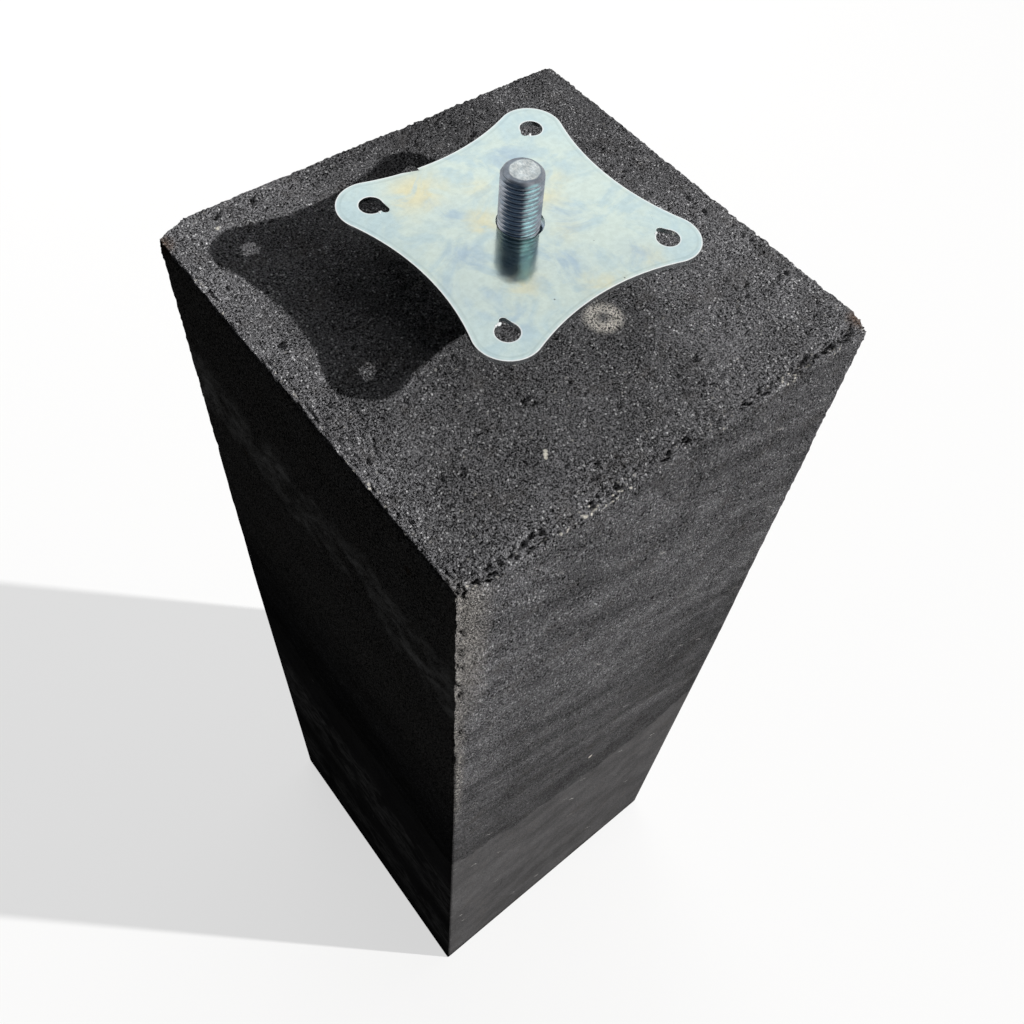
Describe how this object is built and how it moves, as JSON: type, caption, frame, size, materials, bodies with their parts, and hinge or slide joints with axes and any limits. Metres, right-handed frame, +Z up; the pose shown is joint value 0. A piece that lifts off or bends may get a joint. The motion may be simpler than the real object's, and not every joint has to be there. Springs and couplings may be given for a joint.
{
  "type": "concrete deck pier block",
  "caption": "Square dark concrete pier block with a cast-in threaded stud, an adjusting nut and a flat four-lobed head plate that carries a deck beam at a set height.",
  "frame": {"origin": "middle of the block's flat underside", "axes": "+Z up along the stud, +X and +Y square to the block's sides"},
  "size_m": [0.2, 0.2, 0.652],
  "materials": {
    "concrete": "rough cast concrete, coloured anthracite",
    "zinc_stud": "zinc plated, blue passivated",
    "zinc_nut": "zinc plated, blue passivated",
    "zinc_plate": "zinc plated, passivated, mottled pale blue, green and yellow"
  },
  "bodies": {
    "pier": {"concrete_block": "concrete", "threaded_stud": "zinc_stud"},
    "plate": {"head_plate": "zinc_plate"},
    "nut": {"adjusting_nut": "zinc_nut"}
  },
  "joints": [
    {"name": "plate_height", "type": "slide", "parent": "pier", "child": "plate", "axis": [0, 0, 1], "range_m": [-0.012, 0.024]},
    {"name": "nut_turn", "type": "hinge", "parent": "plate", "child": "nut", "pos_m": [0, 0, 0.6195], "axis": [0, 0, 1], "range_deg": [-2160, 4320]}
  ],
  "couplings": [
    {"joint": "nut_turn", "follows": "plate_height", "rad_per_m": 3141.6}
  ]
}
